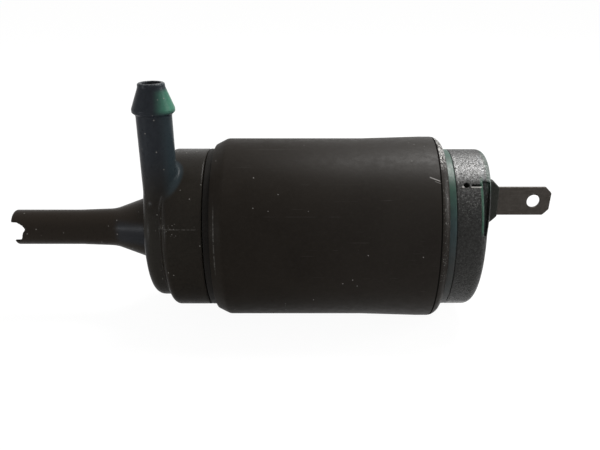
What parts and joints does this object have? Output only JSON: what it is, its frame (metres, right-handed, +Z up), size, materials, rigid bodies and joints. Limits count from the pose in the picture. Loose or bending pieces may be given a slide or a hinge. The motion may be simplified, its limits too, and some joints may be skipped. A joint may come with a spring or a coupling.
{
  "type": "windshield washer pump",
  "caption": "Electric washer pump: moulded head with a straight inlet and a sideways barbed outlet, on a round black motor can with one flat terminal.",
  "frame": {"origin": "on the shaft's axis, where the inlet spigot's straight tube meets its cone", "axes": "+X along the shaft from the inlet to the terminal, +Z up along the outlet nozzle, +Y away from the side that the outlet is on"},
  "size_m": [0.119, 0.0396, 0.0526],
  "materials": {
    "head_plastic": "semi-gloss moulded black plastic with faint mould marks",
    "carrier_plastic": "dull black moulded plastic",
    "can_paint": "satin black paint, worn to bare metal on the rolled lip",
    "cap_plastic": "grainy black plastic with fine sparkle",
    "seal_band": "smooth dark green band",
    "terminal_metal": "tarnished grey-brown plated brass",
    "seal_rubber": "soft black rubber",
    "spring_steel": "bare spring steel strip",
    "impeller_plastic": "natural white moulded plastic",
    "shaft_steel": "ground steel",
    "magnet_ferrite": "dark grey pressed ferrite",
    "core_steel": "stacked steel laminations",
    "copper_wire": "enamelled copper wire",
    "copper_bar": "bare copper",
    "hub_plastic": "brown moulded insulation",
    "card_board": "brown laminated board",
    "brush_carbon": "pressed carbon",
    "bearing_bronze": "oil-filled sintered bronze",
    "oil_felt": "oil-soaked felt",
    "washer_plastic": "natural plastic"
  },
  "bodies": {
    "housing": {"pump_head": "head_plastic", "head_oring": "seal_rubber", "seal_carrier": "carrier_plastic", "shaft_seal": "seal_rubber", "seal_spring": "spring_steel", "motor_can": "can_paint", "magnet_upper": "magnet_ferrite", "magnet_lower": "magnet_ferrite", "magnet_clip_near": "spring_steel", "magnet_clip_far": "spring_steel", "brush_card": "card_board", "brush_upper": "brush_carbon", "brush_lower": "brush_carbon", "brush_spring_upper": "spring_steel", "brush_spring_lower": "spring_steel", "ground_strip": "spring_steel", "front_bearing": "bearing_bronze", "front_felt": "oil_felt", "front_retainer": "spring_steel", "rear_bearing": "bearing_bronze", "rear_felt": "oil_felt", "rear_retainer": "spring_steel", "cap_seal_ring": "seal_band", "end_cap": "cap_plastic", "spade_terminal": "terminal_metal"},
    "rotor": {"shaft": "shaft_steel", "impeller": "impeller_plastic", "armature_core": "core_steel", "windings": "copper_wire", "commutator_hub": "hub_plastic", "commutator_bars": "copper_bar", "front_thrust_washer": "washer_plastic", "rear_thrust_washer": "washer_plastic", "spacer_sleeve": "washer_plastic"}
  },
  "joints": [
    {"name": "rotor_spin", "type": "hinge", "parent": "housing", "child": "rotor", "pos_m": [0, 0, 0], "axis": [-1, 0, 0], "continuous": true}
  ]
}
